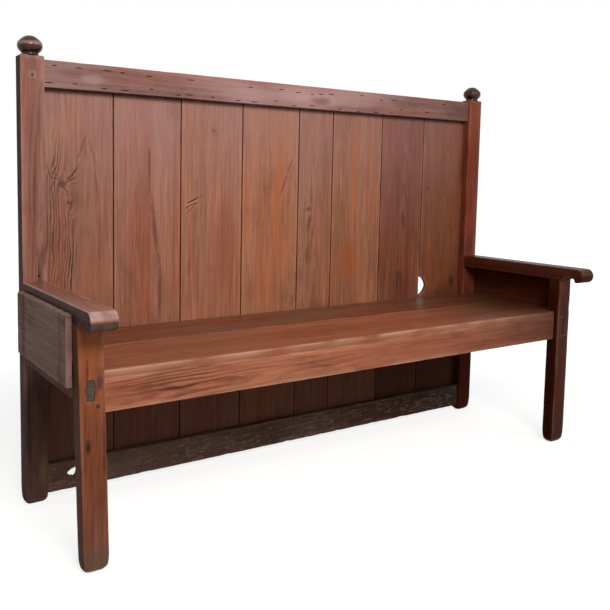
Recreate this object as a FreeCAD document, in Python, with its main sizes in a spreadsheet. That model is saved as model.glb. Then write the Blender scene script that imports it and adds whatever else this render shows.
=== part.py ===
import FreeCAD, Part

import os
import sys
from types import SimpleNamespace

import Sketcher

# A pine plank-back settle: posts, rails and legs are mortised together, and the seat boards,
# back planks and side panels are fitted to that frame. Lengths are millimetres, +Z is up, the
# front faces -Y, and the origin is under the middle of the settle on the floor. Distances that
# are named "from the back" are measured forward from the rear faces of the posts.

DRIVING_SIZES = {
    "frame_width": 1700,
    "arm_reach": 548,
    "post_width": 62,
    "post_depth": 42,
    "post_height": 1184,
    "post_edge_radius": 2.5,
    "post_top_chamfer": 3.5,
    "left_post_foot_wear": 18,
    "right_post_foot_wear": 16,
    "rail_setback": 6,
    "plank_thickness": 12,
    "plank_bottom": 84,
    "plank_top": 1166,
    "plank_gap": 3.5,
    "plank_lap": 8,
    "plank_rebate": 10,
    "plank_joint_1": -592,
    "plank_joint_2": -385,
    "plank_joint_3": -176,
    "plank_joint_4": 35.5,
    "plank_joint_5": 173.5,
    "plank_joint_6": 388,
    "plank_joint_7": 586.5,
    "top_rail_bottom": 1105,
    "top_rail_top": 1176,
    "bottom_rail_bottom": 21.5,
    "bottom_rail_top": 101.5,
    "rail_tenon_length": 44,
    "rail_tenon_thickness": 12,
    "rail_tenon_shoulder": 12,
    "rail_edge_radius": 2,
    "bearer_height": 54.5,
    "bearer_tenon_length": 18,
    "bearer_tenon_shoulder": 5,
    "leg_width": 60,
    "leg_depth": 42,
    "leg_front": 464,
    "leg_edge_radius": 3.5,
    "left_leg_foot_wear": 16,
    "right_leg_foot_wear": 18,
    "left_leg_lean": 0.0225,
    "seat_underside": 432.5,
    "seat_board_thickness": 20,
    "rear_board_thickness": 21.5,
    "seat_front": 448,
    "seat_joint": 214,
    "seat_joint_gap": 1.5,
    "seat_edge_radius": 4,
    "seat_clearance": 1,
    "front_rail_bottom": 358,
    "front_rail_thickness": 24,
    "side_rail_width": 44,
    "left_side_rail_bottom": 394,
    "left_side_rail_top": 440,
    "left_side_rail_rebate": 16,
    "right_side_rail_bottom": 374,
    "side_tenon_width": 18,
    "side_tenon_centre": 820,
    "side_tenon_stub": 22,
    "right_side_tenon_step": 2,
    "left_front_tenon_length": 36,
    "left_front_tenon_shoulder": 6,
    "left_front_tenon_clearance": 4,
    "right_front_tenon_length": 20,
    "right_front_tenon_shoulder": 10,
    "arm_width": 62,
    "arm_underside": 563,
    "arm_top": 602.5,
    "arm_edge_radius": 3,
    "scroll_radius": 22.5,
    "scroll_bottom": 558,
    "scroll_cusp_inset": 5,
    "cove_start": 476,
    "cove_radius": 23,
    "arm_tenon_width": 20,
    "arm_tenon_height": 22,
    "arm_tenon_length": 22,
    "panel_thickness": 14,
    "panel_back": 38,
    "panel_front": 430,
    "panel_bottom": 419,
    "panel_top": 581,
    "panel_corner_radius": 12,
    "panel_edge_radius": 3,
    "peg_radius": 4.5,
    "peg_head": 1,
    "top_rail_peg_height": 1134,
    "top_rail_peg_depth": 34,
    "leg_peg_height": 380,
    "leg_peg_inset": 46,
    "leg_peg_depth": 34,
    "finial_height": 50,
    "finial_foot_radius": 22.5,
    "finial_cove_radius": 13,
    "finial_neck_radius": 21.5,
    "finial_neck_height": 7,
    "finial_cap_radius": 31.5,
    "finial_cap_height": 24,
    "finial_shoulder_radius": 29.5,
    "finial_shoulder_height": 33,
    "finial_slope_radius": 60,
    "finial_crown_radius": 13,
    "finial_crown": 2.5,
    "finial_spigot_radius": 9,
    "finial_spigot_length": 17,
    "knot_hole_tip": 735,
    "knot_hole_tip_height": 68,
    "knot_hole_end": 712,
    "knot_hole_top": 79,
    "knot_hole_bottom": 51,
    "knot_hole_side_radius": 40,
    "knot_hole_end_radius": 20,
    "broken_edge_bottom": 461,
    "broken_edge_middle": 497,
    "broken_edge_top": 531,
    "broken_edge_width": 35,
    "broken_edge_radius": 45,
}

LEFT = -1
RIGHT = 1
SIDE_NAMES = {LEFT: "left", RIGHT: "right"}
# A cut starts this far outside the face that it enters, so that it leaves no skin of wood.
OPEN_END = 5
# A tenon is drawn this far back into its own rail, past a shoulder that slopes.
TENON_ROOT = 15


class Size:
    """A length with its present value and the sheet formula that drives it."""

    def __init__(self, formula, value):
        self.formula = formula
        self.value = value

    def __add__(self, other):
        other = as_size(other)
        return Size(f"({self.formula} + {other.formula})", self.value + other.value)

    def __sub__(self, other):
        other = as_size(other)
        return Size(f"({self.formula} - {other.formula})", self.value - other.value)

    def __mul__(self, other):
        other = as_size(other)
        return Size(f"({self.formula} * {other.formula})", self.value * other.value)

    def __rmul__(self, other):
        return as_size(other) * self

    def __truediv__(self, other):
        other = as_size(other)
        return Size(f"({self.formula} / {other.formula})", self.value / other.value)

    def __neg__(self):
        return self * -1


def as_size(value):
    return value if isinstance(value, Size) else Size(f"({value})", float(value))


def make_sheet(document):
    sheet = document.addObject("Spreadsheet::Sheet", "Sizes")
    for row, (name, value) in enumerate(DRIVING_SIZES.items(), start=1):
        sheet.set(f"A{row}", name)
        sheet.set(f"B{row}", str(value))
        sheet.setAlias(f"B{row}", name)
    document.recompute()
    return SimpleNamespace(**{name: Size(f"Sizes.{name}", float(sheet.get(name))) for name in DRIVING_SIZES})


document = FreeCAD.newDocument("Settle")
size = make_sheet(document)
sub_parts = []

# Lines that several pieces share.
half_width = size.frame_width / 2
post_inner = half_width - size.post_width
finial_overhang = size.finial_cap_radius - size.post_depth / 2
rear_y = (size.arm_reach - finial_overhang) / 2
leg_rear = size.leg_front - size.leg_depth
rail_front = size.post_depth - size.rail_setback
rail_tenon_back = (size.plank_thickness + rail_front - size.rail_tenon_thickness) / 2
front_rail_back = size.seat_front - size.front_rail_thickness
front_tenon_back = front_rail_back + (size.front_rail_thickness - size.rail_tenon_thickness) / 2
bearer_bottom = size.seat_underside - size.bearer_height
side_tenon_outer = size.side_tenon_centre + size.side_tenon_width / 2
side_tenon_inner = size.side_tenon_centre - size.side_tenon_width / 2
arm_tenon_bottom = (size.arm_underside + size.arm_top - size.arm_tenon_height) / 2
plank_joints = [getattr(size, f"plank_joint_{number}") for number in range(1, 8)]


def y_at(distance_from_back):
    return rear_y - distance_from_back


def forward(distance_from_back):
    """Offset of an upright sketch plane, whose normal points to the front."""
    return as_size(distance_from_back) - rear_y


def leg_lean(side):
    return size.left_leg_lean if side == LEFT else as_size(0)


def leg_x(side, inset, height):
    """X on a front leg, inset from its outer face, where a leaning leg stands in at the foot."""
    return side * (half_width - inset) - side * leg_lean(side) * (size.arm_underside - height)


def rectangle(low_1, low_2, high_1, high_2):
    return [(low_1, low_2), (high_1, low_2), (high_1, high_2), (low_1, high_2)]


def new_body(name):
    body = document.addObject("PartDesign::Body", name)
    body.Label = name
    sub_parts.append(body)
    return body


def new_sketch(body, plane, offset):
    support = next(item for item in body.Origin.OriginFeatures if item.Role == plane)
    sketch = body.newObject("Sketcher::SketchObject", f"{body.Name}_sketch")
    sketch.AttachmentSupport = [(support, "")]
    sketch.MapMode = "FlatFace"
    sketch.setExpression("AttachmentOffset.Base.z", as_size(offset).formula)
    return sketch


def bind_point(sketch, geometry, position, point):
    for kind, coordinate in zip(("DistanceX", "DistanceY"), point):
        coordinate = as_size(coordinate)
        index = sketch.addConstraint(Sketcher.Constraint(kind, geometry, position, coordinate.value))
        sketch.setExpression(f"Constraints[{index}]", coordinate.formula)


def arc_between(start, end, radius, turn):
    """Arc under half a circle from start to end; turn is 1 anticlockwise and -1 clockwise."""
    chord = end - start
    middle = start + chord * 0.5
    normal = FreeCAD.Vector(-chord.y, chord.x, 0).normalize()
    centre = middle + normal * (turn * (radius ** 2 - (chord.Length / 2) ** 2) ** 0.5)
    circle = Part.Circle(centre, FreeCAD.Vector(0, 0, 1), radius)
    first, last = (start, end) if turn > 0 else (end, start)
    return Part.ArcOfCircle(circle, circle.parameter(first), circle.parameter(last))


def outline(sketch, corners, arcs=None):
    """Close a loop through the corners; arcs maps an edge's number to its radius and turn."""
    arcs = arcs or {}
    points = [FreeCAD.Vector(as_size(first).value, as_size(second).value, 0) for first, second in corners]
    ends = []
    for number, start in enumerate(points):
        end = points[(number + 1) % len(points)]
        if number in arcs:
            radius, turn = arcs[number]
            geometry = sketch.addGeometry(arc_between(start, end, radius.value, turn), False)
            index = sketch.addConstraint(Sketcher.Constraint("Radius", geometry, radius.value))
            sketch.setExpression(f"Constraints[{index}]", radius.formula)
            ends.append((geometry, (1, 2) if turn > 0 else (2, 1)))
        else:
            geometry = sketch.addGeometry(Part.LineSegment(start, end), False)
            ends.append((geometry, (1, 2)))
    for number, (geometry, positions) in enumerate(ends):
        before, before_positions = ends[number - 1]
        sketch.addConstraint(Sketcher.Constraint("Coincident", before, before_positions[1], geometry, positions[0]))
        bind_point(sketch, geometry, positions[0], corners[number])


def circle_outline(sketch, centre, radius):
    middle = FreeCAD.Vector(as_size(centre[0]).value, as_size(centre[1]).value, 0)
    circle = Part.Circle(middle, FreeCAD.Vector(0, 0, 1), radius.value)
    geometry = sketch.addGeometry(circle, False)
    index = sketch.addConstraint(Sketcher.Constraint("Radius", geometry, radius.value))
    sketch.setExpression(f"Constraints[{index}]", radius.formula)
    bind_point(sketch, geometry, 3, centre)


def extrude(body, kind, sketch, length):
    volume_before = 0 if body.Shape.isNull() else body.Shape.Volume
    feature = body.newObject(f"PartDesign::{kind}", f"{body.Name}_{kind.lower()}")
    feature.Profile = sketch
    feature.setExpression("Length", as_size(length).formula)
    feature.Reversed = kind == "Pocket"
    document.recompute()
    volume = body.Shape.Volume
    if not (volume > volume_before if kind == "Pad" else 0 < volume < volume_before):
        raise RuntimeError(f"{feature.Name} changes nothing, or leaves nothing")
    return feature


def add(body, plane, offset, length, corners, arcs=None):
    sketch = new_sketch(body, plane, offset)
    outline(sketch, corners, arcs)
    return extrude(body, "Pad", sketch, length)


def cut(body, plane, offset, length, corners, arcs=None):
    sketch = new_sketch(body, plane, offset)
    outline(sketch, corners, arcs)
    return extrude(body, "Pocket", sketch, length)


def bore(body, plane, offset, length, centre, radius):
    sketch = new_sketch(body, plane, offset)
    circle_outline(sketch, centre, radius)
    return extrude(body, "Pocket", sketch, length)


def ease(body, radius, wanted, kind="Fillet"):
    """Round or chamfer the edges of the body's last feature for which wanted is true."""
    base = body.Tip
    names = [f"Edge{number}" for number, edge in enumerate(base.Shape.Edges, start=1) if wanted(edge)]
    feature = body.newObject(f"PartDesign::{kind}", f"{body.Name}_{kind.lower()}")
    feature.Base = (base, names)
    feature.setExpression("Radius" if kind == "Fillet" else "Size", radius.formula)
    document.recompute()
    if not body.Shape.isValid() or not 0 < body.Shape.Volume < base.Shape.Volume:
        raise RuntimeError(f"{feature.Name} spoils the solid")


def runs_along(edge, axis):
    first, last = edge.Vertexes[0].Point, edge.Vertexes[-1].Point
    return abs((last - first).normalize().dot(axis)) > 0.99


def near(value, target):
    return abs(value - target.value) < 0.01


X_AXIS = FreeCAD.Vector(1, 0, 0)
Y_AXIS = FreeCAD.Vector(0, 1, 0)
Z_AXIS = FreeCAD.Vector(0, 0, 1)


def foot_corner(at_floor, at_wear, inward, wear):
    """Corner of wood that is worn away from a foot whose flank is at these places, floor and above."""
    outside = at_wear - inward * OPEN_END
    corners = [(outside, as_size(-OPEN_END)), (at_floor + inward * wear, as_size(-OPEN_END)),
               (at_floor + inward * wear, as_size(0)), (at_wear, wear), (outside, wear)]
    return corners, {2: (wear, -inward)}


def round_foot(body, wear, flanks, back, front):
    """Round the four lower edges of a post or leg, the rear one half as far, as wear has done."""
    for at_floor, at_wear, inward in flanks:
        corners, arcs = foot_corner(at_floor, at_wear, inward, wear)
        cut(body, "XZ_Plane", forward(back - OPEN_END), front - back + 2 * OPEN_END, corners, arcs)
    left_end = min((at_wear for at_floor, at_wear, inward in flanks), key=lambda place: place.value)
    for place, inward, depth in ((y_at(front), 1, wear), (y_at(back), -1, wear / 2)):
        corners, arcs = foot_corner(place, place, inward, depth)
        cut(body, "YZ_Plane", left_end - OPEN_END, size.post_width + 2 * OPEN_END, corners, arcs)


def long_mortise(body, side, length, bottom, top, back=rail_tenon_back):
    """Mortise in a post or leg for a tenon that enters from the middle of the settle."""
    corners = rectangle(side * (post_inner - OPEN_END), bottom, side * (post_inner + length), top)
    cut(body, "XZ_Plane", forward(back), size.rail_tenon_thickness, corners)


def side_tenon_corners(side, bottom, top):
    return rectangle(side * side_tenon_outer, bottom, side * side_tenon_inner, top)


def arm_tenon_corners(side, bottom):
    outer = side * (size.side_tenon_centre + size.arm_tenon_width / 2)
    inner = side * (size.side_tenon_centre - size.arm_tenon_width / 2)
    return rectangle(outer, bottom, inner, bottom + size.arm_tenon_height)


def side_rail_span(side):
    if side == LEFT:
        return size.left_side_rail_bottom, size.left_side_rail_top
    return size.right_side_rail_bottom, size.seat_underside


def side_tenon_span(side):
    bottom, top = side_rail_span(side)
    return (bottom, top) if side == LEFT else (bottom, top - size.right_side_tenon_step)


def front_tenon(side):
    """Length, bottom and top of the front rail's tenon, which passes the side rail's tenon."""
    if side == LEFT:
        return (size.left_front_tenon_length, size.front_rail_bottom + size.left_front_tenon_shoulder,
                size.left_side_rail_bottom - size.left_front_tenon_clearance)
    shoulder = size.right_front_tenon_shoulder
    return size.right_front_tenon_length, size.front_rail_bottom + shoulder, size.seat_underside - shoulder


def leg_peg_centre():
    return -(half_width - size.leg_peg_inset), size.leg_peg_height


def top_rail_peg_centre(side):
    return side * (half_width - size.post_width / 2), size.top_rail_peg_height


def back_post(side):
    body = new_body(f"back_post_{SIDE_NAMES[side]}")
    outer, inner = side * half_width, side * post_inner
    plan = rectangle(outer, y_at(size.post_depth), inner, rear_y)
    add(body, "XY_Plane", 0, size.post_height, plan)
    ease(body, size.post_top_chamfer, lambda edge: near(edge.CenterOfMass.z, size.post_height), "Chamfer")
    ease(body, size.post_edge_radius, lambda edge: runs_along(edge, Z_AXIS))
    wear = size.left_post_foot_wear if side == LEFT else size.right_post_foot_wear
    round_foot(body, wear, [(outer, outer, -side), (inner, inner, side)], as_size(0), size.post_depth)
    spigot_centre = (side * (half_width - size.post_width / 2), rear_y - size.post_depth / 2)
    bore(body, "XY_Plane", size.post_height - size.finial_spigot_length,
         size.finial_spigot_length + OPEN_END, spigot_centre, size.finial_spigot_radius)
    rebate = rectangle(inner - side * OPEN_END, size.plank_bottom, inner + side * size.plank_rebate, size.plank_top)
    cut(body, "XZ_Plane", forward(-OPEN_END), size.plank_thickness + OPEN_END, rebate)
    for bottom, top in (rail_tenon_span(size.top_rail_bottom, size.top_rail_top),
                        rail_tenon_span(size.bottom_rail_bottom, size.bottom_rail_top)):
        long_mortise(body, side, size.rail_tenon_length, bottom, top)
    long_mortise(body, side, size.bearer_tenon_length, *bearer_tenon_span())
    stub_start = size.post_depth - size.side_tenon_stub
    side_bottom, side_top = side_tenon_span(side)
    cut(body, "XZ_Plane", forward(stub_start), size.side_tenon_stub + OPEN_END,
        side_tenon_corners(side, side_bottom, side_top))
    cut(body, "XZ_Plane", forward(size.post_depth - size.arm_tenon_length), size.arm_tenon_length + OPEN_END,
        arm_tenon_corners(side, arm_tenon_bottom))
    bore(body, "XZ_Plane", forward(size.post_depth - size.top_rail_peg_depth),
         size.top_rail_peg_depth + OPEN_END, top_rail_peg_centre(side), size.peg_radius)


def rail_tenon_span(bottom, top):
    return bottom + size.rail_tenon_shoulder, top - size.rail_tenon_shoulder


def bearer_tenon_span():
    return bearer_bottom + size.bearer_tenon_shoulder, size.seat_underside - size.bearer_tenon_shoulder


def upright_arc_radius(across, along):
    """Radius of an arc that starts straight along its tangent and ends this far across and along."""
    return (across * across + along * along) / (across * 2)


def finial(side):
    """Turned finial: a wide cap like a low dome, drawn in under its rim to a coved neck."""
    body = new_body(f"finial_{SIDE_NAMES[side]}")
    sketch = new_sketch(body, "XZ_Plane", 0)
    slope_top = size.finial_height - size.finial_crown
    corners = [
        (0, -size.finial_spigot_length),
        (size.finial_spigot_radius, -size.finial_spigot_length),
        (size.finial_spigot_radius, 0),
        (size.finial_foot_radius, 0),
        (size.finial_neck_radius, size.finial_neck_height),
        (size.finial_cap_radius, size.finial_cap_height),
        (size.finial_shoulder_radius, size.finial_shoulder_height),
        (size.finial_crown_radius, slope_top),
        (0, size.finial_height),
    ]
    under_cap = upright_arc_radius(size.finial_cap_radius - size.finial_neck_radius,
                                   size.finial_cap_height - size.finial_neck_height)
    over_cap = upright_arc_radius(size.finial_cap_radius - size.finial_shoulder_radius,
                                  size.finial_shoulder_height - size.finial_cap_height)
    crown = upright_arc_radius(size.finial_crown, size.finial_crown_radius)
    outline(sketch, corners, {3: (size.finial_cove_radius, -1), 4: (under_cap, 1), 5: (over_cap, 1),
                              6: (size.finial_slope_radius, 1), 7: (crown, 1)})
    turned = body.newObject("PartDesign::Revolution", f"{body.Name}_turned")
    turned.Profile = sketch
    turned.ReferenceAxis = (sketch, ["V_Axis"])
    turned.Angle = 360
    document.recompute()
    body.setExpression("Placement.Base.x", (side * (half_width - size.post_width / 2)).formula)
    body.setExpression("Placement.Base.y", (rear_y - size.post_depth / 2).formula)
    body.setExpression("Placement.Base.z", size.post_height.formula)
    document.recompute()


def back_rail(name, bottom, top):
    """Rail between the posts, with a tenon at each end and eased front edges."""
    body = new_body(name)
    add(body, "XZ_Plane", forward(size.plank_thickness), rail_front - size.plank_thickness,
        rectangle(-post_inner, bottom, post_inner, top))
    front_y = y_at(rail_front)
    ease(body, size.rail_edge_radius,
         lambda edge: runs_along(edge, X_AXIS) and near(edge.CenterOfMass.y, front_y))
    tenon_bottom, tenon_top = rail_tenon_span(bottom, top)
    for side in (LEFT, RIGHT):
        add(body, "XZ_Plane", forward(rail_tenon_back), size.rail_tenon_thickness,
            rectangle(side * post_inner, tenon_bottom, side * (post_inner + size.rail_tenon_length), tenon_top))
    return body


def top_rail():
    body = back_rail("top_rail", size.top_rail_bottom, size.top_rail_top)
    for side in (LEFT, RIGHT):
        bore(body, "XZ_Plane", forward(size.post_depth - size.top_rail_peg_depth), size.top_rail_peg_depth,
             top_rail_peg_centre(side), size.peg_radius)


def bottom_rail():
    """The bottom rail has a three-cornered hole near its left end, where a knot has fallen out."""
    body = back_rail("bottom_rail", size.bottom_rail_bottom, size.bottom_rail_top)
    corners = [
        (-size.knot_hole_tip, size.knot_hole_tip_height),
        (-size.knot_hole_end, size.knot_hole_bottom),
        (-size.knot_hole_end, size.knot_hole_top),
    ]
    side_arc = (size.knot_hole_side_radius, 1)
    cut(body, "XZ_Plane", forward(0), size.post_depth, corners,
        {0: side_arc, 1: (size.knot_hole_end_radius, 1), 2: side_arc})


def seat_back_bearer():
    """Hidden rail behind the seat, which carries the rear edge of the rear seat board."""
    body = new_body("seat_back_bearer")
    add(body, "XZ_Plane", forward(size.plank_thickness), rail_front - size.plank_thickness,
        rectangle(-post_inner, bearer_bottom, post_inner, size.seat_underside))
    tenon_bottom, tenon_top = bearer_tenon_span()
    for side in (LEFT, RIGHT):
        add(body, "XZ_Plane", forward(rail_tenon_back), size.rail_tenon_thickness,
            rectangle(side * post_inner, tenon_bottom, side * (post_inner + size.bearer_tenon_length), tenon_top))


def broken_edge(body, start_x):
    """Gap just above the seat, where the edge of a back plank has broken away round a knot."""
    joint = plank_joints[6]
    corners = [
        (start_x, size.broken_edge_bottom),
        (joint, size.broken_edge_bottom),
        (joint + size.broken_edge_width, size.broken_edge_middle),
        (joint, size.broken_edge_top),
        (start_x, size.broken_edge_top),
    ]
    cut(body, "XZ_Plane", forward(-OPEN_END), size.plank_thickness + 2 * OPEN_END, corners,
        {1: (size.broken_edge_radius, 1), 2: (size.broken_edge_radius, 1)})


def back_plank(number):
    """Upright board whose edges overlap its neighbours, or sit in a post's rebate."""
    body = new_body(f"back_plank_{number}")
    last = len(plank_joints) + 1
    half_gap, half_thickness = size.plank_gap / 2, size.plank_thickness / 2
    front, middle, back = y_at(size.plank_thickness), y_at(half_thickness), rear_y
    rebate_end = post_inner + size.plank_rebate
    if number == 1:
        left_edge = [(-rebate_end, back), (-rebate_end, front)]
    else:
        joint = plank_joints[number - 2]
        lap_start = joint + size.plank_lap + half_gap
        left_edge = [(lap_start, back), (lap_start, middle), (joint + half_gap, middle), (joint + half_gap, front)]
    if number == last:
        right_edge = [(rebate_end, front), (rebate_end, back)]
    else:
        joint = plank_joints[number - 1]
        lap_end = joint + size.plank_lap
        right_edge = [(joint - half_gap, front), (joint - half_gap, middle), (lap_end, middle), (lap_end, back)]
    add(body, "XY_Plane", size.plank_bottom, size.plank_top - size.plank_bottom, left_edge + right_edge)
    if number >= last - 1:
        broken_edge(body, plank_joints[6] - half_gap)


def front_leg(side):
    body = new_body(f"front_leg_{SIDE_NAMES[side]}")
    corners = [(leg_x(side, inset, height), height) for inset, height in (
        (0, as_size(0)), (size.leg_width, as_size(0)),
        (size.leg_width, size.arm_underside), (0, size.arm_underside))]
    add(body, "XZ_Plane", forward(leg_rear), size.leg_depth, corners)
    ease(body, size.leg_edge_radius, lambda edge: runs_along(edge, Z_AXIS))
    wear = size.left_leg_foot_wear if side == LEFT else size.right_leg_foot_wear
    flanks = [(leg_x(side, inset, as_size(0)), leg_x(side, inset, wear), inward)
              for inset, inward in ((0, -side), (size.leg_width, side))]
    round_foot(body, wear, flanks, leg_rear, size.leg_front)
    tenon_back = leg_rear + (size.leg_depth - size.arm_tenon_width) / 2
    add(body, "XZ_Plane", forward(tenon_back), size.arm_tenon_width, arm_tenon_corners(side, size.arm_underside))
    cut(body, "XZ_Plane", forward(leg_rear - OPEN_END), size.leg_depth + 2 * OPEN_END,
        side_tenon_corners(side, *side_tenon_span(side)))
    length, bottom, top = front_tenon(side)
    leg_inner = half_width - size.leg_width
    mortise = rectangle(side * (leg_inner - TENON_ROOT), bottom, side * (leg_inner + length), top)
    cut(body, "XZ_Plane", forward(front_tenon_back), size.rail_tenon_thickness, mortise)
    if side == LEFT:
        bore(body, "XZ_Plane", forward(size.leg_front - size.leg_peg_depth), size.leg_peg_depth + OPEN_END,
             leg_peg_centre(), size.peg_radius)


def seat_front_rail():
    body = new_body("seat_front_rail")
    bottom, top = size.front_rail_bottom, size.seat_underside
    corners = [(leg_x(side, size.leg_width, height), height)
               for side, height in ((LEFT, bottom), (RIGHT, bottom), (RIGHT, top), (LEFT, top))]
    add(body, "XZ_Plane", forward(front_rail_back), size.front_rail_thickness, corners)
    front_y = y_at(size.seat_front)
    ease(body, size.rail_edge_radius,
         lambda edge: near(edge.CenterOfMass.y, front_y) and near(edge.CenterOfMass.z, bottom))
    leg_inner = half_width - size.leg_width
    for side in (LEFT, RIGHT):
        length, tenon_bottom, tenon_top = front_tenon(side)
        add(body, "XZ_Plane", forward(front_tenon_back), size.rail_tenon_thickness,
            rectangle(side * (leg_inner - TENON_ROOT), tenon_bottom, side * (leg_inner + length), tenon_top))
    bore(body, "XZ_Plane", forward(size.leg_front - size.leg_peg_depth), size.leg_peg_depth,
         leg_peg_centre(), size.peg_radius)


def seat_side_rail(side):
    """Side rail with a stub tenon in the post and a tenon that comes right through the leg."""
    body = new_body(f"seat_side_rail_{SIDE_NAMES[side]}")
    bottom, top = side_rail_span(side)
    outer, inner = side * half_width, side * (half_width - size.side_rail_width)
    if side == LEFT:
        ledge = inner + side * size.left_side_rail_rebate
        section = [(outer, bottom), (inner, bottom), (inner, size.seat_underside),
                   (ledge, size.seat_underside), (ledge, top), (outer, top)]
    else:
        section = rectangle(outer, bottom, inner, top)
    add(body, "XZ_Plane", forward(size.post_depth), leg_rear - size.post_depth, section)
    tenon = side_tenon_corners(side, *side_tenon_span(side))
    add(body, "XZ_Plane", forward(leg_rear), size.leg_depth, tenon)
    add(body, "XZ_Plane", forward(size.post_depth - size.side_tenon_stub), size.side_tenon_stub, tenon)


def seat_board_ends():
    left_end = -(half_width - size.side_rail_width + size.left_side_rail_rebate - size.seat_clearance)
    right_end = half_width - 2 * size.seat_clearance
    return left_end, right_end


def seat_board_front():
    body = new_body("seat_board_front")
    left_end, right_end = seat_board_ends()
    front, notch = y_at(size.seat_front), y_at(leg_rear - size.seat_clearance)
    joint = y_at(size.seat_joint)
    leg_left = leg_x(LEFT, size.leg_width, size.seat_underside) + size.seat_clearance
    leg_right = half_width - size.leg_width - size.seat_clearance
    corners = [(leg_left, front), (leg_right, front), (leg_right, notch), (right_end, notch),
               (right_end, joint), (left_end, joint), (left_end, notch), (leg_left, notch)]
    add(body, "XY_Plane", size.seat_underside, size.seat_board_thickness, corners)
    top = size.seat_underside + size.seat_board_thickness
    ease(body, size.seat_edge_radius,
         lambda edge: near(edge.CenterOfMass.y, front) and near(edge.CenterOfMass.z, top))


def seat_board_back():
    body = new_body("seat_board_back")
    left_end, right_end = seat_board_ends()
    front = y_at(size.seat_joint - size.seat_joint_gap)
    notch, back = y_at(size.post_depth + size.seat_clearance), y_at(size.plank_thickness)
    between = post_inner - size.seat_clearance
    corners = [(left_end, front), (right_end, front), (right_end, notch), (between, notch),
               (between, back), (-between, back), (-between, notch), (left_end, notch)]
    add(body, "XY_Plane", size.seat_underside, size.rear_board_thickness, corners)
    top = size.seat_underside + size.rear_board_thickness
    ease(body, size.rail_edge_radius,
         lambda edge: near(edge.CenterOfMass.y, front) and near(edge.CenterOfMass.z, top))


def arm(side):
    """Flat arm that ends in a rounded scroll, with a cove cut up under it behind the scroll."""
    body = new_body(f"arm_{SIDE_NAMES[side]}")
    scroll_centre = size.arm_reach - size.scroll_radius
    cusp = scroll_centre - size.scroll_cusp_inset
    corners = [
        (y_at(size.post_depth), size.arm_top),
        (y_at(size.post_depth), size.arm_underside),
        (y_at(size.cove_start), size.arm_underside),
        (y_at(cusp), size.scroll_bottom),
        (y_at(size.arm_reach), size.arm_top - size.scroll_radius),
        (y_at(scroll_centre), size.arm_top),
    ]
    arcs = {2: (size.cove_radius, 1), 3: (size.scroll_radius, -1), 4: (size.scroll_radius, -1)}
    start = half_width - size.arm_width if side == RIGHT else -half_width
    add(body, "YZ_Plane", start, size.arm_width, corners, arcs)
    lowest_eased = size.arm_top - size.scroll_radius
    rear_face = y_at(size.post_depth)

    def is_worn(edge):
        middle = edge.CenterOfMass
        across = runs_along(edge, X_AXIS)
        return middle.z > lowest_eased.value and not across and not near(middle.y, rear_face)

    ease(body, size.arm_edge_radius, is_worn)
    add(body, "XZ_Plane", forward(size.post_depth - size.arm_tenon_length), size.arm_tenon_length,
        arm_tenon_corners(side, arm_tenon_bottom))
    tenon_back = leg_rear + (size.leg_depth - size.arm_tenon_width) / 2
    cut(body, "XZ_Plane", forward(tenon_back), size.arm_tenon_width, arm_tenon_corners(side, size.arm_underside))


def side_panel(side):
    """Thin board nailed outside the arm and the side rail, lapping the post and the leg."""
    body = new_body(f"side_panel_{SIDE_NAMES[side]}")
    back, front = y_at(size.panel_back), y_at(size.panel_front)
    bottom, top, corner = size.panel_bottom, size.panel_top, size.panel_corner_radius
    corners = [(front, bottom), (back, bottom), (back, top - corner), (back - corner, top), (front, top)]
    start = half_width if side == RIGHT else -(half_width + size.panel_thickness)
    add(body, "YZ_Plane", start, size.panel_thickness, corners, {2: (corner, 1)})
    outer_x = side * (half_width + size.panel_thickness)
    ease(body, size.panel_edge_radius, lambda edge: near(edge.CenterOfMass.x, outer_x))


def peg(name, centre, start, length):
    """Round peg from its blind end forward, with its head just proud of the wood."""
    pin = document.addObject("Part::Cylinder", name)
    pin.setExpression("Radius", size.peg_radius.formula)
    pin.setExpression("Height", (length + size.peg_head).formula)
    pin.Placement = FreeCAD.Placement(FreeCAD.Vector(), FreeCAD.Rotation(X_AXIS, 90))
    pin.setExpression("Placement.Base.x", as_size(centre[0]).formula)
    pin.setExpression("Placement.Base.y", y_at(start).formula)
    pin.setExpression("Placement.Base.z", as_size(centre[1]).formula)
    return pin


def frame_pegs():
    pins = [peg(f"top_rail_peg_{SIDE_NAMES[side]}", top_rail_peg_centre(side),
                size.post_depth - size.top_rail_peg_depth, size.top_rail_peg_depth) for side in (LEFT, RIGHT)]
    pins.append(peg("front_rail_peg", leg_peg_centre(), size.leg_front - size.leg_peg_depth, size.leg_peg_depth))
    group = document.addObject("Part::Compound", "frame_pegs")
    group.Links = pins
    group.Label = "frame_pegs"
    sub_parts.append(group)


def check_document():
    document.recompute()
    failed = [item.Name for item in document.Objects if "Invalid" in item.State or "Error" in item.State]
    for item in sub_parts:
        if item.Shape.isNull() or not item.Shape.isValid():
            failed.append(item.Label)
    if failed:
        print("failed:", ", ".join(failed))
        sys.exit(1)


def export_sub_parts():
    os.makedirs("parts", exist_ok=True)
    for item in sub_parts:
        item.Shape.exportStep(os.path.join("parts", f"{item.Label}.step"))
        box = item.Shape.BoundBox
        print(f"{item.Label}: {item.Shape.Volume / 1000:.1f} cm3, "
              f"{box.XLength:.1f} x {box.YLength:.1f} x {box.ZLength:.1f} mm")


for side in (LEFT, RIGHT):
    back_post(side)
    finial(side)
    front_leg(side)
    seat_side_rail(side)
    arm(side)
    side_panel(side)
top_rail()
bottom_rail()
seat_back_bearer()
seat_front_rail()
seat_board_front()
seat_board_back()
for plank_number in range(1, len(plank_joints) + 2):
    back_plank(plank_number)
frame_pegs()
check_document()
export_sub_parts()
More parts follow.
